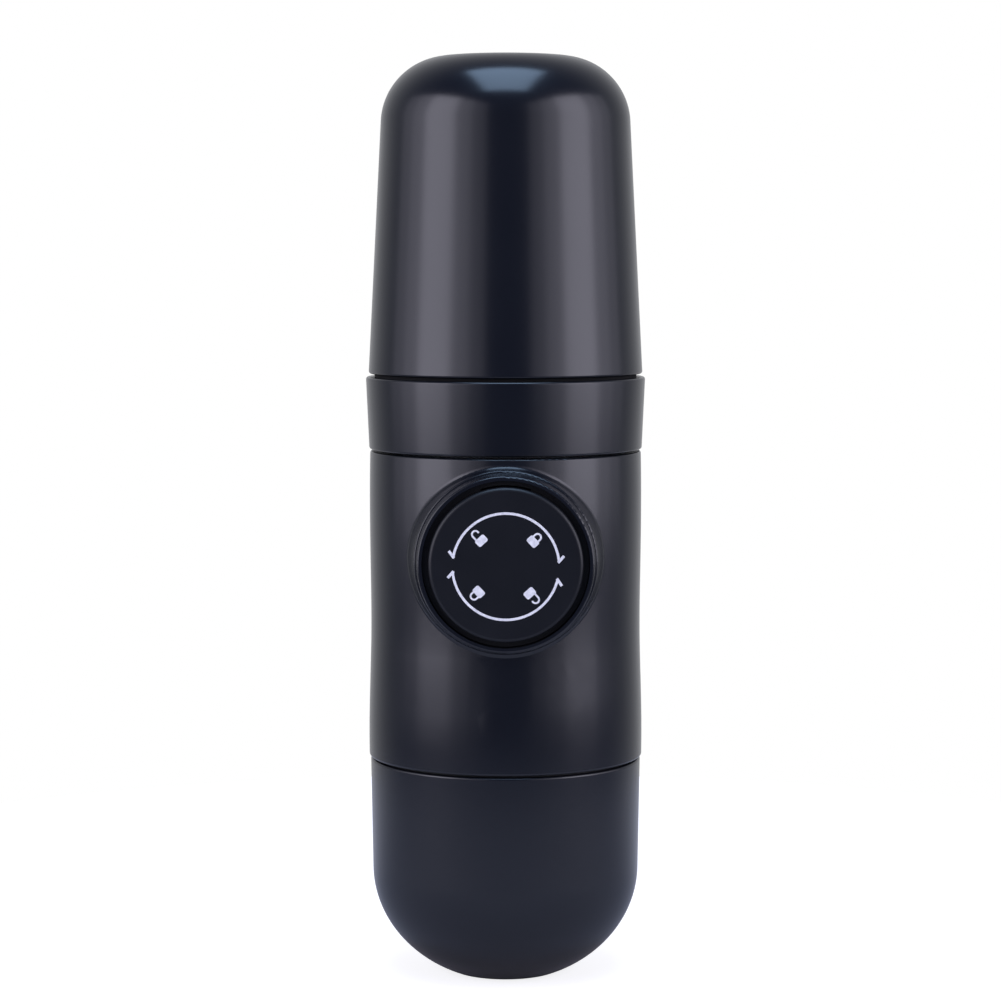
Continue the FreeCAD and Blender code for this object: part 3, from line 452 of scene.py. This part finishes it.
def makeCollar():
    size = turnedSize("outlet_collar")
    bottom, top = size["bottom"], size["bottom"] + collar["bandHeight"]
    cupRim = top + collar["grooveHeight"]
    groove = size["radius"] - collar["grooveDepth"]
    bandBottom = size["radius"] - collar["bottomInset"]
    inner = bandBottom - collar["wall"]
    spigot = cupInnerRadius(size["top"]) - collar["spigotGap"]
    spigotBore = spigot - collar["spigotWall"]
    grip = cupRim + collar["gripHeight"]
    gripFloor = cupInnerRadius(grip) - collar["gripGap"] - 2 * collar["gripSection"]
    webBottom = bottom + collar["webBottom"]
    webTop = webBottom + collar["webThickness"]
    edge, softEdge, section = collar["edge"], collar["softEdge"], collar["gripSection"]
    piece = turnedPiece("collarMoulding", "satin", "outlet_collar", [
        (inner, bottom, softEdge), (bandBottom, bottom, edge), (size["radius"], top, edge),
        (groove, top, collar["grooveEdge"]), (groove, cupRim, softEdge), (spigot, cupRim),
        (spigot, grip - section), (gripFloor, grip - section), (gripFloor, grip + section),
        (spigot, grip + section), (spigot, size["top"], edge), (spigotBore, size["top"], softEdge),
        (spigotBore, webTop, softEdge), (collar["webBore"], webTop), (collar["webBore"], webBottom),
        (inner, webBottom, softEdge)],
        threads=[(inner, -1, bottom + collar["ridge"])])
    # the groove gets the matt ABS, whose darker colour is painted shade in the recess
    piece.data.materials.append(materials["groove"])
    for face in piece.data.polygons:
        if top < face.center.z / mm < cupRim:
            face.material_index = 1


funnel = {"skirtRadius": 22.2, "skirtWall": 1.5, "flangeHeight": 8.25, "flangeThickness": 1.6,
          "roofHeight": 13.6, "wall": 1.6, "coneHeight": 9.0, "spoutBase": 4.8, "spoutTip": 3.9, "bore": 1.8,
          "lip": 0.8, "mouthDepth": 3.0, "edge": 0.5, "softEdge": 0.2, "flangeCorner": 0.4,
          "shoulderCorner": 1.2, "spoutCorner": 1.5, "tipCorner": 0.35}


def makeFunnel():
    size = turnedSize("outlet_funnel")
    skirt, softEdge = funnel["skirtRadius"], funnel["softEdge"]
    skirtBore = skirt - funnel["skirtWall"]
    roof = size["bottom"] + funnel["roofHeight"]
    coneTop = roof + funnel["wall"] + funnel["coneHeight"]
    flange = size["bottom"] + funnel["flangeHeight"]
    flangeTop = flange + funnel["flangeThickness"]
    turnedPiece("funnelMoulding", "inner", "outlet_funnel", [
        (skirtBore, size["bottom"], softEdge), (skirt, size["bottom"], softEdge), (skirt, flange),
        (size["radius"], flange), (size["radius"], flangeTop, funnel["edge"]),
        (skirt, flangeTop, funnel["flangeCorner"]),
        (skirt, roof + funnel["wall"] / 2, funnel["shoulderCorner"]),
        (funnel["spoutBase"], coneTop, funnel["spoutCorner"]),
        (funnel["spoutTip"], size["top"], funnel["tipCorner"]),
        (funnel["spoutTip"] - funnel["lip"], size["top"], softEdge),
        (funnel["bore"], size["top"] - funnel["mouthDepth"]),
        (funnel["bore"], coneTop - funnel["wall"]), (skirtBore, roof)])


makeCollar()
makeFunnel()


# Water tank, round-ended, with a small level foot

tank = {"domeHeight": 23.0, "domeInset": 0.4, "footRadius": 12.0, "wall": 2.75, "floor": 2.0, "edge": 0.5,
        "innerEdge": 0.2, "seatRadius": 28.0, "seatDepth": 1.2, "seatEdge": 0.1, "ridgeDepth": 5.25,
        "domeSteps": 28}


def ellipseArc(centreHeight, halfWidth, drop, fromAngle, toAngle):
    steps = tank["domeSteps"]
    angles = [math.radians(fromAngle + (toAngle - fromAngle) * i / steps) for i in range(steps + 1)]
    return [(halfWidth * math.cos(a), centreHeight - drop * math.sin(a)) for a in angles]


def makeTank():
    size = turnedSize("water_tank")
    dome = size["radius"] - tank["domeInset"]
    footAngle = math.degrees(math.acos(tank["footRadius"] / dome))
    drop = tank["domeHeight"] / math.sin(math.radians(footAngle))
    inner = size["radius"] - tank["wall"]
    outside = ellipseArc(tank["domeHeight"], dome, drop, 0, footAngle)
    inside = ellipseArc(tank["domeHeight"], inner, tank["domeHeight"] - tank["floor"], 90, 0)
    rim = [(inner, size["top"] - tank["seatDepth"], tank["innerEdge"]),
           (tank["seatRadius"], size["top"] - tank["seatDepth"]),
           (tank["seatRadius"], size["top"], tank["seatEdge"]), (size["radius"], size["top"], tank["edge"])]
    turnedPiece("tankMoulding", "satin", "water_tank",
                [(0, tank["floor"])] + inside[1:] + rim + outside + [(0, 0)],
                threads=[(inner, -1, size["top"] - tank["ridgeDepth"])])


makeTank()
print("cup, head and tank made")


# Knob cap and its print

# angles are in degrees, counted anticlockwise from the right as the knob is looked at
knob = {"edge": 0.85, "backEdge": 0.3}
arrows = {"radius": 11.0, "stroke": 0.52, "spans": [(5.5, 169.4), (185.9, 346.0)], "barbLength": 1.85,
          "barbStroke": 0.58, "barbAngle": 47}
padlocks = {"circle": 8.2, "open": [133, 312], "closed": [43, 223], "width": 2.4, "height": 1.7,
            "corner": 0.4, "cornerSteps": 4, "shackle": 0.72, "stroke": 0.38, "leg": 0.45, "lift": 0.5,
            "sink": 0.1, "freeLegShare": 0.6}
ink = {"thickness": 0.03, "drop": 0.28, "fewestSteps": 12, "degreesInStep": 3,
       "secondPass": 0.005}  # a stroke that crosses another lies this much higher


def makeKnobCap():
    size = pumpSize("knob_cap")
    back = pumpSize("knob_skirt")["front"]
    turnedPiece("knobCap", "knob", "knob_cap", [
        (0, back), (size["radius"], back, knob["backEdge"]),
        (size["radius"], size["front"], knob["edge"]), (0, size["front"])], pumpAxis)


def aimed(degrees):
    return Vector((math.cos(math.radians(degrees)), math.sin(math.radians(degrees)), 0))


def printArc(bm, radius, stroke, fromAngle, toAngle, centre=(0, 0, 0)):
    centre = Vector(centre)
    out = aimed(fromAngle)
    rim = [bm.verts.new(centre + out * (radius + side * stroke / 2)) for side in (-1, 1)]
    edge = bm.edges.new(rim)
    steps = max(ink["fewestSteps"], round(abs(toAngle - fromAngle) / ink["degreesInStep"]))
    last = spinAbout(bm, rim + [edge], math.radians(toAngle - fromAngle), steps, centre=centre)
    return edge, last[0]


def pullEdge(bm, edge, move):
    pulled = bmesh.ops.extrude_edge_only(bm, edges=[edge])["geom"]
    ends = [item for item in pulled if isinstance(item, bmesh.types.BMVert)]
    bmesh.ops.translate(bm, vec=move, verts=ends)


def printStroke(bm, start, direction, length, stroke):
    side = Vector((-direction.y, direction.x, 0)) * stroke / 2
    edge = bm.edges.new((bm.verts.new(start - side), bm.verts.new(start + side)))
    pullEdge(bm, edge, direction * length)


def printArrow(bm, fromAngle, toAngle):
    printArc(bm, arrows["radius"], arrows["stroke"], fromAngle, toAngle)
    for angle, turn in ((fromAngle, 1), (toAngle, -1)):
        tip = aimed(angle) * arrows["radius"] + Vector((0, 0, ink["secondPass"]))
        direction = aimed(angle + turn * (90 - arrows["barbAngle"]))  # leans out from the line it leaves
        printStroke(bm, tip - direction * arrows["barbStroke"] / 2, direction, arrows["barbLength"],
                    arrows["barbStroke"])


def printPadlock(bm, angle, isOpen):
    lock = bmesh.new()
    corners = [(-1, 0), (1, 0), (1, 1), (-1, 1)]
    plate = lock.faces.new([lock.verts.new((x * padlocks["width"] / 2, y * padlocks["height"], 0))
                            for x, y in corners])
    bmesh.ops.bevel(lock, geom=plate.verts[:], offset=padlocks["corner"], offset_type="OFFSET",
                    segments=padlocks["cornerSteps"], profile=0.5, affect="VERTICES", material=-1)
    legTop = padlocks["height"] + padlocks["leg"] + (padlocks["lift"] if isOpen else 0)
    ends = printArc(lock, padlocks["shackle"], padlocks["stroke"], 0, 180, (0, legTop, ink["secondPass"]))
    wholeLeg = padlocks["height"] - padlocks["sink"] - legTop
    freeLeg = -padlocks["leg"] * padlocks["freeLegShare"] if isOpen else wholeLeg
    pullEdge(lock, ends[1], Vector((0, wholeLeg, 0)))
    pullEdge(lock, ends[0], Vector((0, freeLeg, 0)))
    middle = (legTop + padlocks["shackle"]) / 2
    lock.transform(Matrix.Rotation(math.radians(angle - 90), 4, "Z")
                   @ Matrix.Translation((0, padlocks["circle"] - middle, 0)))
    mesh = meshFrom(lock, "padlockPart")
    bm.from_mesh(mesh)
    bpy.data.meshes.remove(mesh)


def makeKnobPrint():
    bm = bmesh.new()
    for fromAngle, toAngle in arrows["spans"]:
        printArrow(bm, fromAngle, toAngle)
    for state in ("open", "closed"):
        for angle in padlocks[state]:
            printPadlock(bm, angle, state == "open")
    bmesh.ops.remove_doubles(bm, verts=bm.verts, dist=turning["mergeDistance"])
    bmesh.ops.solidify(bm, geom=bm.faces[:], thickness=ink["thickness"])
    face = pumpSize("knob_cap")["front"]
    lift = Matrix.Translation((0, -(face + ink["thickness"] / 2) * mm, -ink["drop"] * mm))
    piece = finishPiece(bm, "knobPrint", "ink", None, "knob", lift @ pumpAxis)


makeKnobCap()
makeKnobPrint()
print("knob and print made")


# Seals, turned with soft edges

seals = [
    {"node": "head_seal", "name": "headSeal", "width": 1.8, "edge": 0.35},
    {"node": "tank_seal", "name": "tankSeal", "width": 1.45, "edge": 0.3},
    {"node": "basket_gasket", "name": "basketGasket", "width": 1.8, "edge": 0.4},
]
pumpSeals = [
    {"node": "piston_seal", "name": "pistonSeal", "width": 1.5, "edge": 0.3, "steps": 96},
    {"node": "cylinder_seal", "name": "cylinderSeal", "width": 0.9, "edge": 0.35, "steps": 96},
]
gripRing = {"sides": 20}


def makeSeal(seal, radius, low, high, place=Matrix()):
    bore, edge = radius - seal["width"], seal["edge"]
    turnedPiece(seal["name"], "rubber", seal["node"],
                [(bore, low, edge), (radius, low, edge), (radius, high, edge), (bore, high, edge)],
                place, seal.get("steps", turning["steps"]))


def makeSeals():
    for seal in seals:
        size = turnedSize(seal["node"])
        makeSeal(seal, size["radius"], size["bottom"], size["top"])
    for seal in pumpSeals:
        size = pumpSize(seal["node"])
        makeSeal(seal, size["radius"], size["back"], size["front"], pumpAxis)


def makeGripRing():
    size = turnedSize("cup_grip_ring")
    section = (size["top"] - size["bottom"]) / 2
    bm = bmesh.new()
    place = Matrix.Translation((size["radius"] - section, 0, size["bottom"] + section)) @ standing
    bmesh.ops.create_circle(bm, cap_ends=False, segments=gripRing["sides"], radius=section, matrix=place)
    spinAbout(bm, bm.verts[:] + bm.edges[:], math.tau, turning["steps"], closed=True)
    finishPiece(bm, "cupGripRing", "rubber", "cup_grip_ring")


makeSeals()
makeGripRing()
print("seals made")


# Springs of round wire

springs = [
    {"node": "return_spring", "name": "returnSpring", "wire": 0.7, "turns": 6, "sides": 12,
     "pushes": "piston"},
    {"node": "inlet_spring", "name": "inletSpring", "wire": 0.2, "turns": 4, "sides": 8,
     "pushes": "inlet_valve_ball"},
    {"node": "outlet_spring", "name": "outletSpring", "wire": 0.2, "turns": 3, "sides": 8,
     "pushes": "outlet_valve_ball"},
]
coiling = {"stepsInTurn": 40, "sharpAngle": 50}


def makeSpring(spring):
    low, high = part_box(spring["node"])
    if spring["pushes"] == "piston":
        bottom, top, place = -high.y / mm, -low.y / mm, pumpAxis
    else:
        bottom, top, place = low.z / mm, high.z / mm, valveAxis
    radius, wire = high.x / mm - spring["wire"], spring["wire"]
    steps = spring["turns"] * coiling["stepsInTurn"]
    bm = bmesh.new()
    section = Matrix.Translation((radius, 0, bottom + wire)) @ standing
    bmesh.ops.create_circle(bm, cap_ends=False, segments=spring["sides"], radius=wire, matrix=section)
    start = bm.edges[:]
    last = spinAbout(bm, bm.verts[:] + start, math.tau * spring["turns"], steps,
                     (top - bottom - 2 * wire) / steps)
    bmesh.ops.holes_fill(bm, edges=start + last, sides=spring["sides"])
    piece = finishPiece(bm, spring["name"], "wire", spring["node"], "", place, coiling["sharpAngle"])
    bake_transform(piece)


for spring in springs:
    makeSpring(spring)
print("springs made")


# Nodes that keep their own mesh

dressed = {
    "satin": ["body_shell"],
    "inner": ["knob_skirt", "guide_sleeve"],
    "frame": ["pump_frame", "piston_rod", "suction_strainer"],
    "clear": ["pump_cylinder"],
    "white": ["piston_wear_ring", "inlet_seat", "outlet_seat", "outlet_cage"],
    "silicone": ["vent_valve"],
    "sheet": ["filter_basket", "shower_screen"],
    "ball": ["inlet_ball", "outlet_ball"],
    "screw": ["shower_screw", "knob_washer", "knob_screw", "sleeve_screws"],
}
for finish, names in dressed.items():
    for nodeName in names:
        nodes[nodeName].material_slots[0].material = materials[finish]
print("CAD nodes dressed")


# Camera: metres, degrees and pixels

camera = {"distance": 0.642, "height": 0.1574, "side": -0.00109, "tiltDown": 4.83, "focalPixels": 2958,
          "imagePixels": 1001, "sensorMm": 36.0}


def makeCamera():
    data = bpy.data.cameras.new("camera")
    data.sensor_width = camera["sensorMm"]
    data.lens = camera["focalPixels"] / camera["imagePixels"] * camera["sensorMm"]
    rig = newObject("camera", data)
    rig.location = (camera["side"], -camera["distance"], camera["height"])
    rig.rotation_euler = (math.radians(90 - camera["tiltDown"]), 0, 0)
    bpy.context.scene.camera = rig


makeCamera()


# Studio: metres, watts and degrees

# each softbox is a row of panels that dims towards its sides: place across, width, share of the brightness
softboxes = {"distance": 0.9, "top": 0.85, "perSquareMetre": 10.4, "colour": "#f1eeff",
             "panels": [(0, 0.5, 1.0), (-0.4, 0.3, 0.42), (0.4, 0.3, 0.42), (-0.72, 0.34, 0.2),
                        (0.72, 0.34, 0.2)]}
leftBox = {"name": "leftSoftbox", "azimuth": -62, "bottom": -0.02}
rightBox = {"name": "rightSoftbox", "azimuth": 66, "bottom": -0.012}
topBox = {"front": -0.62, "back": 0.1, "width": 0.56, "height": 0.95, "power": 5.8, "colour": "#b9d9ff"}
room = {"fill": 0.4, "dim": "#464e68", "whiteFrom": -0.2, "whiteTo": 1.9}
tableTop = {"radius": 0.24, "sides": 96, "colour": "#a8a8b4", "roughness": 0.9, "lift": 0.8,
            "mirrorLift": 0.2, "whiteFrom": 0.0, "whiteTo": 0.15}


def areaLamp(name, place, target, width, height, power, colour):
    data = bpy.data.lights.new(name, "AREA")
    data.shape = "RECTANGLE"
    data.size = width
    data.size_y = height
    data.energy = power
    data.color = hexLinear(colour)[:3]
    lamp = newObject(name, data)
    lamp.location = place
    lamp.rotation_euler = (Vector(target) - Vector(place)).to_track_quat("-Z", "Y").to_euler()


def lightStudio():
    for box in (leftBox, rightBox):
        height, middle = softboxes["top"] - box["bottom"], (softboxes["top"] + box["bottom"]) / 2
        azimuth = math.radians(box["azimuth"])
        out = Vector((math.sin(azimuth), -math.cos(azimuth), 0))
        across = Vector((math.cos(azimuth), math.sin(azimuth), 0))
        for number, (offset, width, share) in enumerate(softboxes["panels"], 1):
            target = across * offset + Vector((0, 0, middle))
            areaLamp(box["name"] + str(number), target + out * softboxes["distance"], target, width, height,
                     softboxes["perSquareMetre"] * share * width * height, softboxes["colour"])
    centre = (topBox["front"] + topBox["back"]) / 2
    areaLamp("topSoftbox", (0, centre, topBox["height"]), (0, centre, 0), topBox["width"],
             topBox["back"] - topBox["front"], topBox["power"], topBox["colour"])


def sortRays(tree, place, look):
    # tells rays that look straight or through a clear wall from mirrored ones, and how far behind they land
    path = addNode(tree, "ShaderNodeLightPath")
    straight = addNode(tree, "ShaderNodeMath", {"operation": "MAXIMUM"},
                       {0: path.outputs["Is Camera Ray"], 1: path.outputs["Is Transmission Ray"]})
    parts = addNode(tree, "ShaderNodeSeparateXYZ", links={"Vector": place})
    behind = addNode(tree, "ShaderNodeMapRange",
                     {"interpolation_type": "SMOOTHSTEP", "From Min": look["whiteFrom"],
                      "From Max": look["whiteTo"]},
                     {"Value": parts.outputs["Y"]})
    return straight.outputs["Value"], path.outputs["Is Glossy Ray"], behind.outputs["Result"]


def makeWorld():
    world = bpy.data.worlds.new("studioWorld")
    bpy.context.scene.world = world
    world.use_nodes = True
    tree = world.node_tree
    tree.nodes.clear()
    # reflections see the white backdrop behind the object and a dim room in front of it
    direction = addNode(tree, "ShaderNodeTexCoord").outputs["Generated"]
    straight, glossy, behind = sortRays(tree, direction, room)
    mirrored = addNode(tree, "ShaderNodeMix",
                       {"data_type": "RGBA", mixFirst: hexLinear(room["dim"]), mixSecond: white},
                       {mixShare: behind})
    lit = addNode(tree, "ShaderNodeMix", {"data_type": "RGBA", mixFirst: [room["fill"]] * 3 + [1]},
                  {mixSecond: mirrored.outputs[mixResult], mixShare: glossy})
    shown = addNode(tree, "ShaderNodeMix", {"data_type": "RGBA", mixSecond: white},
                    {mixFirst: lit.outputs[mixResult], mixShare: straight})
    background = addNode(tree, "ShaderNodeBackground", links={"Color": shown.outputs[mixResult]})
    addNode(tree, "ShaderNodeOutputWorld", links={"Surface": background.outputs[0]})
    world.cycles.sampling_method = "NONE"  # so that each kind of ray finds its own level


def makeFloor():
    material, tree, place = newMaterial("paleTableTop")
    # as in the world, reflections find it white behind the object and as it is lit in front
    straight, glossy, behind = sortRays(tree, place, tableTop)
    mirrored = addNode(tree, "ShaderNodeMath", {"operation": "MULTIPLY"}, {0: glossy, 1: behind})
    seen = addNode(tree, "ShaderNodeMath", {"operation": "MULTIPLY", 1: tableTop["lift"]}, {0: straight})
    lift = addNode(tree, "ShaderNodeMath", {"operation": "MULTIPLY_ADD", 1: tableTop["mirrorLift"]},
                   {0: mirrored.outputs["Value"], 2: seen.outputs["Value"]})
    shader = addNode(tree, "ShaderNodeBsdfPrincipled",
                     {"Base Color": hexLinear(tableTop["colour"]), "Roughness": tableTop["roughness"],
                      "Emission Color": white},
                     {"Emission Strength": lift.outputs["Value"]})
    finishMaterial(tree, shader)
    bm = bmesh.new()
    bmesh.ops.create_circle(bm, cap_ends=True, segments=tableTop["sides"], radius=tableTop["radius"])
    floor = newObject("floor", meshFrom(bm, "floor"))
    floor.data.materials.append(material)


makeWorld()
makeFloor()
lightStudio()
bpy.context.scene.view_settings.view_transform = "Standard"
print("camera and studio set")
